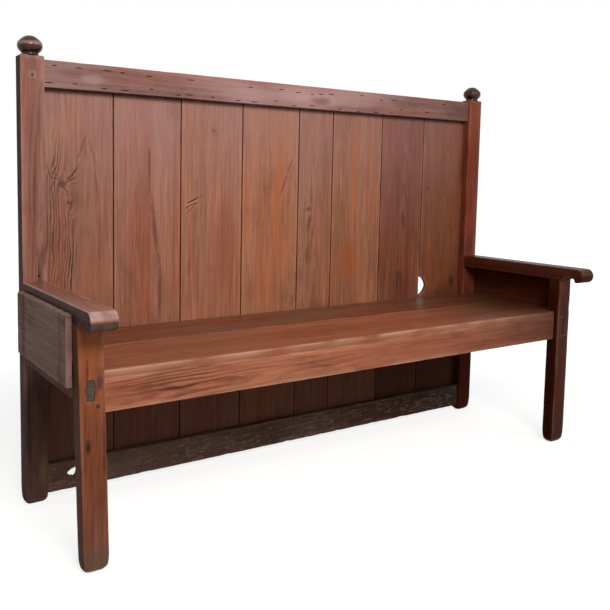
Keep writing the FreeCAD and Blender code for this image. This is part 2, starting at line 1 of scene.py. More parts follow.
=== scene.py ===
import math
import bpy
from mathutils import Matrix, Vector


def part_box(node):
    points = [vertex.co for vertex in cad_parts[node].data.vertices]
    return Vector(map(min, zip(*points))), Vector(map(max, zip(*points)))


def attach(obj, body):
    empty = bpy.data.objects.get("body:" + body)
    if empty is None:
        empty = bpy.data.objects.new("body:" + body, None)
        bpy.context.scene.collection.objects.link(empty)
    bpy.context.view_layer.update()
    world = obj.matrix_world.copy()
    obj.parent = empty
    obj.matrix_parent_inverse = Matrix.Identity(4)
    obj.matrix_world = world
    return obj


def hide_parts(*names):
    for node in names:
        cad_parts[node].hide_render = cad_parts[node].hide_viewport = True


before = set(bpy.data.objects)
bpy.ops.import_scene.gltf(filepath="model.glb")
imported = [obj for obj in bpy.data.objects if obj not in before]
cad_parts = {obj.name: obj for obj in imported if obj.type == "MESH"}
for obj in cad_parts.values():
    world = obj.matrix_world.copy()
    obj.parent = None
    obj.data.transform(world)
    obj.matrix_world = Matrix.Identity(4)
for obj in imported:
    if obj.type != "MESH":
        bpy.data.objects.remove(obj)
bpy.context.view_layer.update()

from types import SimpleNamespace

import bmesh
import bpy
from mathutils import Matrix, Vector, kdtree, noise

# A pine plank-back settle. Lengths are metres, +Z is up and the front faces -Y, as in the frame.
# Each piece of wood is a worn copy of its solid: its arrises are rubbed and nicked, its faces
# are a little uneven, and its grain runs along its length from a heart line of its own.

MM = 0.001
POST_REAR = 0.26875
BOARD_FRONT = POST_REAR - 12 * MM

# Planes, as (axis, place), in which a post and a side panel lie against each other.
POST_OUTSIDES = ((0, 0.85), (0, -0.85))

# Height above the floor at which the sides of a foot begin to draw in.
FOOT_REACH = 17 * MM

# Photograph: position of the lens, and its right, down and forward directions.
LENS_POSITION = Vector((-1.369, -2.0085 + POST_REAR, 0.8825))
LENS_RIGHT = Vector((0.83316, -0.55276, 0.01759))
LENS_DOWN = Vector((-0.03515, -0.08468, -0.99579))
LENS_FORWARD = Vector((0.55192, 0.82903, -0.08998))
IMAGE_SIZE = 610
FOCAL_PIXELS = 751.263
CENTRE_PIXEL = (277.883, 245.923)
SENSOR_WIDTH = 36

# A solid's faces are joined below the first angle, its edges are eased above the second, and
# the edges of the worn piece are shown sharp above the third.
FLAT_ANGLE = math.radians(0.5)
SHARP_ANGLE = math.radians(50)
CREASE_ANGLE = math.radians(38)

# How far from its edge a face is cut once more, how far the rubbing of an edge reaches, how
# square to an axis a flat face is, and how close to a still plane nothing is worn.
EDGE_INSET = 4 * MM
RUB_FADE = 4.5 * MM
FLAT_NORMAL = 0.97
STILL_REACH = 1.5 * MM

# Scales of a face's broad and fine unevenness, and scale and threshold of each size of chip.
SOFT_SCALE = 9
FINE_SCALE = 47
CHIPS = ((23, 0.25), (80, 0.35))

# Red and grey of a wood, as steps from its early wood, and its usual dirt, knots and worn edges.
RED_STEP = (-6, -22, -24)
GREY_STEP = (-16, -13, -9)
GRIME = (58, 38, 30)
KNOT = (96, 62, 46)
WORN = (188, 132, 100)

# The noises of a piece of wood: their scales across the face, into it and along the grain, and
# the shift that keeps them apart, then their detail and roughness where these aren't the usual.
WOOD_NOISES = {
    "wander": ((5, 5, 1.5), 0),
    "wander_deep": ((5, 5, 1.2), 9),
    "waves": ((45, 45, 9), 4, 3),
    "fading": ((16, 16, 2.5), 14),
    "stripe": ((140, 140, 4.5), 10, 4, 0.75),
    "streaky": ((14, 14, 3.5), 19),
    "fibre": ((380, 380, 7), 2, 3, 0.65),
    "hair": ((1300, 1300, 34), 6, 2, 0.6),
    "band": ((26, 12, 0.9), 3),
    "cloud": ((6, 6, 3), 5, 3, 0.55),
    "stain": ((30, 30, 7), 21, 4, 0.6),
    "grime": ((9, 9, 5), 7, 5, 0.65),
    "speck": ((230, 230, 120), 8),
    "rub": ((24, 24, 7), 1, 3),
    "fleck": ((120, 120, 40), 17, 3, 0.7),
    "gloss": ((22, 22, 9), 11, 4),
    "swell": ((60, 60, 22), 12, 3),
}

# Noise that moves the heart line across the face and into it, and how far it does.
HEART_WANDER = (("wander", 0.03), ("wander_deep", 0.022))

# Darkness through one ring: pale early wood, and late wood that darkens and ends sharply.
RING_STOPS = ((0.0, 0.12), (0.45, 0.16), (0.86, 0.95), (0.93, 1.0), (1.0, 0.12))

# Width and length, in radii of a knot, over which it bends the grain, how much it does, its own
# height as a share of its width, and how closely its rings lie.
KNOT_BEND_WIDTH = 2.8
KNOT_BEND_LENGTH = 5.5
KNOT_BEND = 0.85
KNOT_FLATNESS = 0.8
KNOT_RINGS = 17

# Depth behind a board's front where its patches end, and where the dirt and painted shade of its
# open joints begin and end, and the depth over which the painted shade under an arm comes in.
PATCH_DEPTH = (9 * MM, 5 * MM)
JOINT_START = (1.2 * MM, 3.5 * MM)
JOINT_END = (11.4 * MM, 10.5 * MM)
UNDER_FADE = 10 * MM

# Share of the shine that is lost where there is no wax, and on faces painted as shaded.
WAX_SHINE = 0.92

# How coarse the ragged rim of an oval is, in shares of its half width, and how deep it cuts in;
# then what keeps a figure's rim apart from those of the patches.
RIM_SCALE = 0.7
RIM_DEPTH = 1.1
RIM_SHIFT = 20
FIGURE_SHIFT = 30

# A piece of wood, unless its plan says otherwise. Each plan also has middle, a point of the face,
# and heart is how far the heart line lies from it, across and behind. tilt is how fast the heart
# line leaves the grain's direction. ring is the width of a ring and ripple how far it waves. A
# knot is (across, along, radius). figure is an oval in which the rings show fully, and more by
# its strength. joint_front is where the front face is on a board with open joints, whose sides
# get dirt and painted shade. dull is an oval without wax. dark_side is the strength and colour
# of painted shade on faces that look to -X. under is the height below which a piece is painted
# darker, as shade, and how strongly.
PLAIN_WOOD = dict(
    heart=(0.0, 0.06), tilt=(0.0, 0.012), ring=0.0042, knots=(), contrast=1.0, ripple=0.9, figure=None,
    patches=(), roughness=0.5, coat=0.0, coat_roughness=0.34, specular=0.2, rough_sawn=0.0,
    joint_front=None, dull=None, dark_side=None, under=None)


def srgb(red, green, blue):
    """Linear colour from the 0 to 255 values that a screen shows."""
    def linear(channel):
        share = channel / 255
        return share / 12.92 if share <= 0.04045 else ((share + 0.055) / 1.055) ** 2.4
    return (linear(red), linear(green), linear(blue), 1)


class Graph:
    """Short calls for building the nodes of a material or of the world."""

    def __init__(self, owner):
        self.owner = owner
        owner.use_nodes = True
        self.tree = owner.node_tree
        self.shader = self.tree.nodes.get("Principled BSDF")

    def node(self, kind, inputs=None, **settings):
        made = self.tree.nodes.new(kind)
        for key, value in settings.items():
            setattr(made, key, value)
        for key, value in (inputs or {}).items():
            self.feed(made.inputs[key], value)
        return made

    def feed(self, socket, value):
        if isinstance(value, bpy.types.NodeSocket):
            self.tree.links.new(value, socket)
        else:
            socket.default_value = value

    def math(self, operation, first, second=0.0, third=0.0, clamp=False):
        made = self.node("ShaderNodeMath", {0: first, 1: second, 2: third}, operation=operation)
        made.use_clamp = clamp
        return made.outputs[0]

    def times(self, first, second):
        return self.math("MULTIPLY", first, second)

    def times_add(self, first, second, third):
        return self.math("MULTIPLY_ADD", first, second, third)

    def minus(self, first, second):
        return self.math("SUBTRACT", first, second)

    def most(self, first, second):
        return self.math("MAXIMUM", first, second)

    def centred(self, value):
        return self.minus(value, 0.5)

    def share_squares(self, first, first_unit, second, second_unit):
        """Sum of the squares of two lengths, each counted in its own unit."""
        shares = [self.math("DIVIDE", first, first_unit), self.math("DIVIDE", second, second_unit)]
        return self.math("ADD", *[self.math("POWER", share, 2) for share in shares])

    def where_seen(self):
        """1 for what the lens sees, straight, in a reflection or through a pane, and 0 for lighting."""
        path = self.node("ShaderNodeLightPath").outputs
        shown = self.most(path["Is Camera Ray"], path["Is Glossy Ray"])
        return self.most(shown, path["Is Transmission Ray"])

    def mix(self, factor, first, second, blend="MIX"):
        made = self.node("ShaderNodeMix", data_type="RGBA", blend_type=blend)
        self.feed(made.inputs[0], factor)
        self.feed(made.inputs[6], first)
        self.feed(made.inputs[7], second)
        return made.outputs[2]

    def vector(self, x, y, z):
        return self.node("ShaderNodeCombineXYZ", {0: x, 1: y, 2: z}).outputs[0]

    def noise(self, vector, detail=2.0, roughness=0.5):
        return self.node("ShaderNodeTexNoise", {
            "Vector": vector, "Scale": 1.0, "Detail": detail, "Roughness": roughness}).outputs[0]

    def ramp(self, factor, stops):
        made = self.node("ShaderNodeValToRGB", {0: factor})
        elements = made.color_ramp.elements
        while len(elements) < len(stops):
            elements.new(0.5)
        for element, (position, level) in zip(elements, stops):
            element.position = position
            element.color = (level, level, level, 1)
        return made.outputs[0]

    def rise(self, value, low, high):
        return self.node("ShaderNodeMapRange", {"Value": value, "From Min": low, "From Max": high},
                         interpolation_type="SMOOTHSTEP").outputs[0]


class Wood(Graph):
    """Material of one piece of wood, laid from its rings outwards to its wax.

    axes names the object axes that go across the face, into it and along the grain.
    """

    def __init__(self, name, axes, seed, colours, plan):
        super().__init__(bpy.data.materials.new(name))
        self.seed = seed
        self.colours = colours
        self.plan = plan
        self.made_noises = {}
        place = self.node("ShaderNodeSeparateXYZ", {0: self.node("ShaderNodeTexCoord").outputs["Object"]})
        self.across, self.depth, self.along = [place.outputs["XYZ".index(axis)] for axis in axes]

    def at(self, across_scale, depth_scale, along_scale, shift):
        """A point for a noise, with its own scale in each direction and this piece's own place."""
        return self.vector(self.times_add(self.across, across_scale, self.seed * 3.7 + shift),
                           self.times_add(self.depth, depth_scale, self.seed * 5.3 - shift),
                           self.times_add(self.along, along_scale, self.seed * 7.1 + 2 * shift))

    def own_noise(self, kind):
        """One of the wood's noises, made once for each piece."""
        if kind not in self.made_noises:
            scales, shift, *settings = WOOD_NOISES[kind]
            self.made_noises[kind] = self.noise(self.at(*scales, shift), *settings)
        return self.made_noises[kind]

    def spots(self, kind, low, high):
        """1 where one of the wood's noises is high, and 0 where it is low."""
        return self.rise(self.own_noise(kind), low, high)

    def tint(self, mask, share, colour):
        """Mix the colour that is laid so far towards another, by a share of a mask."""
        self.colour = self.mix(self.times(mask, share), self.colour, colour)

    def inside(self, oval, shift):
        """1 in a ragged oval on the face, falling to 0 at its rim."""
        off = self.minus(self.across, oval.across)
        up = self.minus(self.along, oval.along)
        if oval.turn:
            cosine = math.cos(oval.turn)
            sine = math.sin(oval.turn)
            turned = self.times_add(off, cosine, self.times(up, sine))
            up = self.times_add(up, cosine, self.times(off, -sine))
            off = turned
        scale = RIM_SCALE / min(oval.half_width, oval.half_length)
        ragged = self.centred(self.noise(self.at(scale, scale, scale / 2, RIM_SHIFT + shift), 4))
        shares = self.share_squares(off, oval.half_width, up, oval.half_length)
        reach = self.times_add(ragged, RIM_DEPTH, self.math("SQRT", shares))
        return self.rise(reach, 1.0, 1.0 - oval.softness)

    def place_knots(self):
        """Where the knots and their rings are, and how the grain bends round them."""
        self.bent = self.across
        self.knot_mask = 0.0
        self.knot_rings = 0.0
        for index, (knot_across, knot_along, radius) in enumerate(self.plan.knots):
            off = self.minus(self.across, knot_across)
            up = self.minus(self.along, knot_along)
            near = self.share_squares(off, radius * KNOT_BEND_WIDTH, up, radius * KNOT_BEND_LENGTH)
            near = self.math("EXPONENT", self.times(near, -1))
            self.bent = self.minus(self.bent, self.times(self.times(off, near), KNOT_BEND))
            ragged = self.times(self.centred(self.noise(self.at(110, 60, 80, index))), 0.9)
            reach = self.math("SQRT", self.share_squares(off, radius, up, radius * KNOT_FLATNESS))
            reach = self.math("ADD", reach, ragged)
            mask = self.rise(reach, 1.15, 0.8)
            self.knot_mask = self.most(self.knot_mask, mask)
            rings = self.times_add(self.math("SINE", self.times(reach, KNOT_RINGS)), 0.5, 0.5)
            self.knot_rings = self.most(self.knot_rings, self.times(rings, mask))

    def from_heart(self, side, value):
        """How far value is from the heart line, across the face for side 0 and into it for side 1."""
        plan = self.plan
        wander, reach = HEART_WANDER[side]
        off = self.minus(value, plan.middle[side] + plan.heart[side])
        off = self.times_add(self.minus(self.along, plan.middle[2]), -plan.tilt[side], off)
        return self.times_add(self.centred(self.own_noise(wander)), reach, off)

    def noise_of_ring(self, count, scale, shift):
        """A noise that changes from ring to ring and not along them."""
        return self.noise(self.vector(self.times(count, scale), self.seed + shift, 0.0), 1)

    def lay_rings(self):
        """The late wood of rings round the heart line, some strong and some faded."""
        plan = self.plan
        distance = self.share_squares(self.from_heart(0, self.bent), 1, self.from_heart(1, self.depth), 1)
        count = self.math("DIVIDE", self.math("SQRT", distance), plan.ring)
        count = self.times_add(self.centred(self.own_noise("waves")), plan.ripple, count)
        count = self.times_add(self.noise_of_ring(count, 0.37, 0), 1.6, count)
        strength = self.rise(self.noise_of_ring(count, 0.21, 4), 0.3, 0.7)
        strength = self.times(strength, self.spots("fading", 0.3, 0.62))
        self.show = 0.8 * plan.contrast
        if plan.figure:
            figure = self.inside(plan.figure, FIGURE_SHIFT)
            strength = self.most(strength, figure)
            self.show = self.times_add(figure, plan.figure.strength, self.show)
        self.late_wood = self.ramp(self.math("FRACT", count), RING_STOPS)
        self.late_wood = self.times(self.late_wood, self.times_add(strength, 0.85, 0.15))

    def lay_colours(self):
        """Early and late wood, tinted by broad bands, clouds and stains."""
        colours = self.colours
        ringed_share = self.math("MULTIPLY", self.late_wood, self.show, clamp=True)
        self.colour = self.mix(ringed_share, colours["light"], colours["dark"])
        self.tint(self.spots("band", 0.35, 0.65), 1.0, self.mix(0.75, self.colour, colours["red"]))
        self.tint(self.spots("cloud", 0.4, 0.64), 0.7, colours["grey"])
        self.tint(self.spots("stain", 0.5, 0.7), 0.28 * self.plan.contrast, colours["dark"])

    def lay_strands(self):
        """Light and dark strands along the grain, from broad stripes to single hairs."""
        stripe_depth = self.times_add(self.spots("streaky", 0.35, 0.65), 1.6, 0.5)
        shade = 1.0
        for kind, tone_depth in (("stripe", stripe_depth), ("fibre", 1.0), ("hair", 0.5)):
            strand = self.times_add(self.centred(self.own_noise(kind)), tone_depth, 1.0)
            shade = self.times(strand, shade)
        self.colour = self.mix(1.0, self.colour, self.vector(shade, shade, shade), "MULTIPLY")

    def lay_dirt_knots_and_pale_arrises(self):
        """Grime, specks, knots, and pale rubbed arrises, which on the seat's front are also a painted
        highlight.
        """
        colours = self.colours
        self.grime = self.spots("grime", 0.56, 0.78)
        self.speck = self.spots("speck", 0.7, 0.8)
        self.tint(self.grime, 0.5, colours["grime"])
        self.tint(self.speck, 0.55, colours["grime"])
        if self.plan.knots:
            self.tint(self.knot_mask, 0.8, self.mix(self.knot_rings, colours["knot"], colours["dark"]))
        edge = self.node("ShaderNodeAttribute", attribute_name="edge").outputs["Fac"]
        # Pale rubbed arrises are wear, and on the seat's front also a painted highlight.
        self.rubbed = self.times(edge, self.spots("rub", 0.3, 0.66))
        self.tint(self.rubbed, colours["rub"], colours["worn"])

    def lay_patches(self):
        """The piece's own marks, painted light and shade among them, on the front only where it is a board
        with open joints.
        """
        plan = self.plan
        facing = 1.0
        if plan.joint_front is not None:
            facing = self.rise(self.depth, *[plan.joint_front + depth for depth in PATCH_DEPTH])
        for index, oval in enumerate(plan.patches):
            self.tint(self.inside(oval, index), self.times(facing, oval.strength), oval.colour)
        if plan.rough_sawn:
            self.tint(self.spots("fleck", 0.52, 0.66), 0.55 * plan.rough_sawn, self.colours["worn"])

    def darken_sides(self):
        """Painted shade on faces that look to -X and below a height, dirt and painted shade in open joints,
        and where the shine is lost: without wax, and on the painted shade.
        """
        plan = self.plan
        self.unwaxed_and_shaded = self.inside(plan.dull, 0) if plan.dull else 0.0
        if plan.dark_side:
            strength, colour = plan.dark_side
            # Faces that look to -X are painted darker, as shade, and lose their shine.
            normal = self.node("ShaderNodeNewGeometry").outputs["Normal"]
            leftward = self.node("ShaderNodeSeparateXYZ", {0: normal}).outputs["X"]
            sideways = self.rise(leftward, -0.75, -0.95)
            self.tint(sideways, strength, srgb(*colour))
            self.unwaxed_and_shaded = self.most(self.unwaxed_and_shaded, sideways)
        # Below the height in under, the piece is painted darker, as shade, and loses its shine.
        if plan.under:
            height, strength = plan.under
            lower = self.rise(self.depth, height, height - UNDER_FADE)
            self.tint(lower, strength, self.colours["grime"])
            self.unwaxed_and_shaded = self.most(self.unwaxed_and_shaded, lower)
        # The sides of the open joints are darkened: dirt and painted shade in the gaps.
        if plan.joint_front is not None:
            inward = self.rise(self.depth, *[plan.joint_front + depth for depth in JOINT_START])
            outward = self.rise(self.depth, *[plan.joint_front + depth for depth in JOINT_END])
            self.tint(inward, self.times(outward, 0.9), self.colours["grime"])

    def finish_surface(self):
        """Shine and relief, and everything fed to the shader."""
        plan = self.plan
        gloss = self.times_add(self.centred(self.own_noise("gloss")), 0.34, plan.roughness)
        gloss = self.times_add(self.grime, 0.16, gloss)
        gloss = self.times_add(self.rubbed, -0.08, gloss)
        height = self.times(self.late_wood, 0.34)
        for value, share in ((self.own_noise("fibre"), 0.55),
                             (self.own_noise("hair"), 0.22 + 0.5 * plan.rough_sawn),
                             (self.own_noise("swell"), 0.7 + 1.2 * plan.rough_sawn),
                             (self.speck, -0.5), (self.knot_mask, -0.4)):
            height = self.times_add(value, share, height)
        relief = 0.0007 + 0.0012 * plan.rough_sawn
        bump = self.node("ShaderNodeBump", {"Strength": 0.55, "Distance": relief, "Height": height})
        shines = {"Specular IOR Level": plan.specular, "Coat Weight": plan.coat}
        if plan.dull or plan.dark_side or plan.under:
            shines = {socket: self.times_add(self.unwaxed_and_shaded, -WAX_SHINE * level, level)
                      for socket, level in shines.items()}
        surface = {"Base Color": self.colour, "Roughness": gloss, "Normal": bump.outputs[0],
                   "Coat Roughness": plan.coat_roughness, **shines}
        for socket, value in surface.items():
            self.feed(self.shader.inputs[socket], value)


def wood(name, axes, seed, colours, **changes):
    """Wood whose grain runs along the last of axes, with changes to the plan of plain wood."""
    made = Wood(name, axes, seed, colours, SimpleNamespace(**{**PLAIN_WOOD, **changes}))
    made.place_knots()
    made.lay_rings()
    made.lay_colours()
    made.lay_strands()
    made.lay_dirt_knots_and_pale_arrises()
    made.lay_patches()
    made.darken_sides()
    made.finish_surface()
    return made.owner


def patch(across, along, half_width, half_length, strength, colour, softness=0.6, turn=0.0):
    """Ragged oval on the wood's face, mixed towards a colour; turn is in degrees."""
    return SimpleNamespace(
        across=across, along=along, half_width=half_width, half_length=half_length,
        strength=strength, colour=srgb(*colour), softness=softness, turn=math.radians(turn))


def patches(*rows):
    """Patches from rows of (across, along, half width, half length, strength, colour, softness, turn)."""
    return tuple(patch(*row) for row in rows)


def tone(light, dark, red=None, grey=None, grime=GRIME, worn=WORN, rub=0.45):
    """Colours of one piece of wood: early and late wood, tints, dirt, knots and rubbed edges."""
    def stepped(steps):
        return [channel + step for channel, step in zip(light, steps)]
    named = {"light": light, "dark": dark, "red": red or stepped(RED_STEP),
             "grey": grey or stepped(GREY_STEP), "grime": grime, "knot": KNOT, "worn": worn}
    return {**{name: srgb(*colour) for name, colour in named.items()}, "rub": rub}


def cut_into_grid(shape, spacing):
    """Cut the faces along planes that follow the frame's axes, closer together beside the edges."""
    low = Vector([min(v.co[i] for v in shape.verts) for i in range(3)])
    high = Vector([max(v.co[i] for v in shape.verts) for i in range(3)])
    for axis in range(3):
        length = high[axis] - low[axis]
        normal = Vector([float(i == axis) for i in range(3)])
        steps = max(1, round(length / spacing[axis]))
        places = [low[axis] + length * step / steps for step in range(1, steps)]
        if length > 3 * EDGE_INSET:
            places += [low[axis] + EDGE_INSET, high[axis] - EDGE_INSET]
        for value in places:
            geometry = list(shape.verts) + list(shape.edges) + list(shape.faces)
            bmesh.ops.bisect_plane(shape, geom=geometry, dist=1e-5, plane_co=normal * value, plane_no=normal)


def edge_closeness(shape):
    """For each vertex, 1 on a rounded arris, falling to 0 where its rubbing ends."""
    tree = kdtree.KDTree(len(shape.verts))
    on_edge = []
    for vertex in shape.verts:
        flat = all(max(abs(value) for value in face.normal) > FLAT_NORMAL for face in vertex.link_faces)
        on_edge.append(not flat)
        if not flat:
            tree.insert(vertex.co, vertex.index)
    tree.balance()
    closeness = []
    for vertex in shape.verts:
        if on_edge[vertex.index]:
            closeness.append(1.0)
            continue
        distance = tree.find(vertex.co)[2]
        closeness.append(max(0.0, 1 - distance / RUB_FADE) if distance is not None else 0.0)
    return closeness


def wear_down(shape, closeness, seed, uneven, nicks, still):
    """Sink each vertex by a smooth unevenness, and deeper in nicks along the arrises.

    The vertices on the still planes, which are (axis, value) pairs, stay in place.
    """
    sunk = []
    for vertex, close in zip(shape.verts, closeness):
        if any(abs(vertex.co[axis] - value) < STILL_REACH for axis, value in still):
            sunk.append(vertex.co.copy())
            continue
        place = vertex.co + Vector((seed * 3.1, seed * 1.7, seed * 2.3))
        soft = 0.5 + 0.5 * noise.noise(place * SOFT_SCALE)
        fine = 0.5 + 0.5 * noise.noise(place * FINE_SCALE)
        chip = sum(max(0.0, noise.noise(place * scale) - level) for scale, level in CHIPS)
        depth = uneven * (0.75 * soft + 0.25 * fine) + nicks * close * (0.15 * fine + 1.8 * chip)
        sunk.append(vertex.co - vertex.normal * depth)
    for vertex, place in zip(shape.verts, sunk):
        vertex.co = place


def eased_shape(node, bevel, spacing):
    """A node's solid with rounded arrises, cut finely enough to be worn."""
    shape = bmesh.new()
    shape.from_mesh(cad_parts[node].data)
    bmesh.ops.remove_doubles(shape, verts=shape.verts, dist=1e-6)
    bmesh.ops.dissolve_limit(shape, angle_limit=FLAT_ANGLE, verts=shape.verts, edges=shape.edges)
    sharp = [edge for edge in shape.edges if edge.is_manifold and edge.calc_face_angle() > SHARP_ANGLE]
    bmesh.ops.bevel(shape, geom=sharp, offset=bevel, segments=2, profile=0.6, affect="EDGES",
                    clamp_overlap=True)
    cut_into_grid(shape, spacing)
    bmesh.ops.triangulate(shape, faces=[face for face in shape.faces if len(face.verts) > 4])
    shape.normal_update()
    shape.verts.index_update()
    return shape


def smooth_between_creases(shape):
    shape.normal_update()
    for face in shape.faces:
        face.smooth = True
    for edge in shape.edges:
        edge.smooth = not edge.is_manifold or edge.calc_face_angle() < CREASE_ANGLE


def add_object(name, shape, material):
    """An object of the scene that has the shape as its mesh."""
    mesh = bpy.data.meshes.new(name)
    shape.to_mesh(mesh)
    shape.free()
    mesh.materials.append(material)
    made = bpy.data.objects.new(name, mesh)
    bpy.context.scene.collection.objects.link(made)
    return made


def worn_piece(node, material, seed, spacing=(0.02, 0.02, 0.02), bevel=0.8,
               uneven=0.35, nicks=1.2, still=(), cutters=()):
    """A piece that stands for a node: the same solid with eased, uneven and nicked surfaces.

    bevel, uneven and nicks are in millimetres.
    """
    shape = eased_shape(node, bevel * MM, spacing)
    closeness = edge_closeness(shape)
    wear_down(shape, closeness, seed, uneven * MM, nicks * MM, still)
    smooth_between_creases(shape)
    piece = add_object(f"worn_{node}", shape, material)
    piece.data.attributes.new("edge", "FLOAT", "POINT").data.foreach_set("value", closeness)
    for cutter in cutters:
        cut_out(piece, cutter)
    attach(piece, "root")
    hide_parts(node)
    return piece


def round_foot(piece):
    """Round the corners of a foot in plan, more and more towards the floor."""
    floor = min(vertex.co.z for vertex in piece.data.vertices)
    top = 3 * FOOT_REACH
    ankle = [vertex.co for vertex in piece.data.vertices if FOOT_REACH < vertex.co.z - floor < top]
    low = [min(place[i] for place in ankle) for i in range(2)]
    high = [max(place[i] for place in ankle) for i in range(2)]
    least, most = 2 * MM, 15 * MM
    for vertex in piece.data.vertices:
        lift = vertex.co.z - floor
        if lift >= top:
            continue
        sunk = FOOT_REACH - math.sqrt(FOOT_REACH ** 2 - max(0.0, FOOT_REACH - lift) ** 2)
        rounding = least + most * (1 - lift / top) ** 1.6
        past = []
        for i in range(2):
            half = (high[i] - low[i]) / 2 - 0.8 * sunk
            radius = min(rounding, 0.9 * half)
            off = abs(vertex.co[i] - (low[i] + high[i]) / 2) - (half - radius)
            past.append((max(0.0, off), radius))
        share = math.hypot(*[off / radius for off, radius in past])
        if share > 1:
            for i, (off, radius) in enumerate(past):
                pull = off * (1 - 1 / share)
                vertex.co[i] -= math.copysign(pull, vertex.co[i] - (low[i] + high[i]) / 2)


def cut_out(piece, cutter):
    """Take the cutter's shape out of the piece, and keep the cutter's material in the hole."""
    modifier = piece.modifiers.new("holes", "BOOLEAN")
    modifier.object = cutter
    modifier.operation = "DIFFERENCE"
    modifier.solver = "EXACT"
    modifier.material_mode = "TRANSFER"
    view = bpy.context.evaluated_depsgraph_get()
    mesh = bpy.data.meshes.new_from_object(piece.evaluated_get(view))
    piece.modifiers.clear()
    piece.data = mesh
    bpy.data.objects.remove(cutter)


def lens_cutters(name, holes, face_y, material):
    """Many small almond-shaped pits along X in a face that looks to -Y, as one cutter.

    A hole is (x, z, half length, half height, depth).
    """
    shape = bmesh.new()
    for x, z, half_length, half_height, depth in holes:
        scale = Matrix.Diagonal((half_length, depth, half_height, 1))
        place = Matrix.Translation((x, face_y, z))
        bmesh.ops.create_icosphere(shape, subdivisions=2, radius=1, matrix=place @ scale)
    return add_object(name, shape, material)


def dark_hole_material():
    """Grimy bottom of an old nail hole."""
    g = Graph(bpy.data.materials.new("hole_grime"))
    place = g.node("ShaderNodeTexCoord").outputs["Object"]
    scaled = g.node("ShaderNodeMapping", {"Vector": place, "Scale": (160, 160, 160)}).outputs[0]
    g.feed(g.shader.inputs["Base Color"], g.mix(g.noise(scaled, 3), srgb(28, 18, 14), srgb(58, 40, 32)))
    g.shader.inputs["Roughness"].default_value = 0.85
    return g.owner


HOLE_GRIME = dark_hole_material()

# Below the seat the boards are darker, unwaxed and in painted shade; above it they are paler, with bloomed
# wax and painted light from above; and the top rail casts painted shade on their upper ends.
UNDER_SEAT_DIRT_AND_SHADE = patch(0.0, 0.1, 4.0, 0.37, 0.56, (76, 52, 49), 0.3)
BLOOM_AND_TOP_LIGHT = patch(-0.2, 1.18, 1.6, 0.52, 0.46, (168, 132, 130), 1.0)
UNDER_RAIL_SHADE = patch(0.0, 1.107, 40.0, 0.008, 0.8, (44, 26, 24), 0.8)

